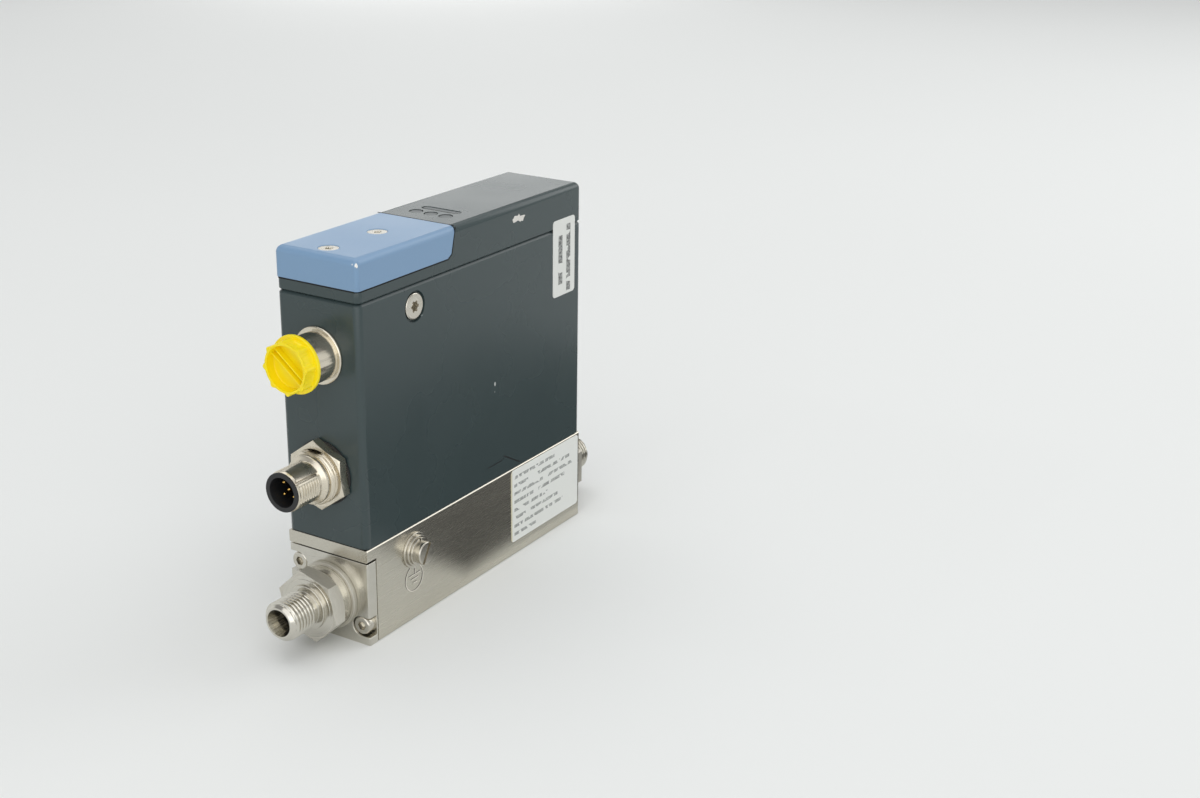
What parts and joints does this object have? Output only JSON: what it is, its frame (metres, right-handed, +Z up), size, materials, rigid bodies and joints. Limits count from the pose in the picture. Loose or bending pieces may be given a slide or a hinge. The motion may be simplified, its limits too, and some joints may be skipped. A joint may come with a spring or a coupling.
{
  "type": "mass flow controller",
  "caption": "Inline thermal gas mass flow controller: steel base block with tube fittings, painted electronics housing, round plugs and a sprung solenoid valve.",
  "frame": {"origin": "centre of the base block's bottom face", "axes": "+Z up, +X along the gas flow from inlet to outlet; the electrical connectors and the service cap are at the -X end"},
  "size_m": [0.1551, 0.0334, 0.1152],
  "materials": {
    "stainless_steel": "fine machined, slightly warm",
    "fastener_steel": "plain bright steel",
    "housing_paint": "satin, dark grey",
    "cap_paint": "satin, grey-blue",
    "nickel_plate": "satin nickel plate",
    "contact_gold": "gold plate",
    "insulator": "black moulded",
    "seal_rubber": "matt black",
    "yellow_plastic": "moulded",
    "circuit_board": "solder mask",
    "capacitor_can": "plain",
    "tinned_copper": "tinned",
    "window_plastic": "dark grey, lightly recessed",
    "label_film": "satin film"
  },
  "bodies": {
    "controller": {"base_block": "stainless_steel", "base_screws": "fastener_steel", "board_bracket": "fastener_steel", "board_capacitors": "capacitor_can", "board_chips": "insulator", "board_header": "insulator", "board_screws": "fastener_steel", "board_standoffs": "fastener_steel", "bracket_screws": "fastener_steel", "cap_screws": "fastener_steel", "coil_terminals": "tinned_copper", "connector_board": "circuit_board", "dust_cap": "yellow_plastic", "earth_clamp_washer": "fastener_steel", "earth_lock_washer": "fastener_steel", "earth_screw": "fastener_steel", "earth_washer": "fastener_steel", "fitting_washers": "stainless_steel", "flow_straightener": "stainless_steel", "housing": "housing_paint", "housing_gasket": "seal_rubber", "inlet_filter": "stainless_steel", "inlet_fitting": "stainless_steel", "inlet_plate": "stainless_steel", "main_board": "circuit_board", "outlet_fitting": "stainless_steel", "plate_oring": "seal_rubber", "plate_screws": "fastener_steel", "plug_gasket": "seal_rubber", "plug_insert": "insulator", "plug_nut": "nickel_plate", "plug_pins": "contact_gold", "plug_shell": "nickel_plate", "power_lens": "window_plastic", "seal_label": "label_film", "sensor_board": "circuit_board", "sensor_header": "insulator", "sensor_oring": "seal_rubber", "sensor_probe": "insulator", "sensor_screws": "fastener_steel", "service_cap": "cap_paint", "side_screws": "fastener_steel", "socket_contacts": "contact_gold", "socket_insert": "insulator", "socket_nut": "nickel_plate", "socket_shell": "nickel_plate", "status_lenses": "window_plastic", "top_cover": "housing_paint", "type_label": "label_film", "valve_coil": "insulator", "valve_guide_tube": "stainless_steel", "valve_nut": "fastener_steel", "valve_oring": "seal_rubber", "valve_seat": "stainless_steel", "valve_spring": "fastener_steel", "valve_stop_core": "stainless_steel", "valve_yoke": "fastener_steel"},
    "plunger": {"valve_plunger": "stainless_steel", "plunger_seal": "seal_rubber"}
  },
  "joints": [
    {"name": "valve_lift", "type": "slide", "parent": "controller", "child": "plunger", "axis": [0, 0, 1], "range_m": [0, 0.0005], "stiffness_N_per_m": 500, "springref_m": -0.002, "deforming": ["valve_spring"]}
  ]
}
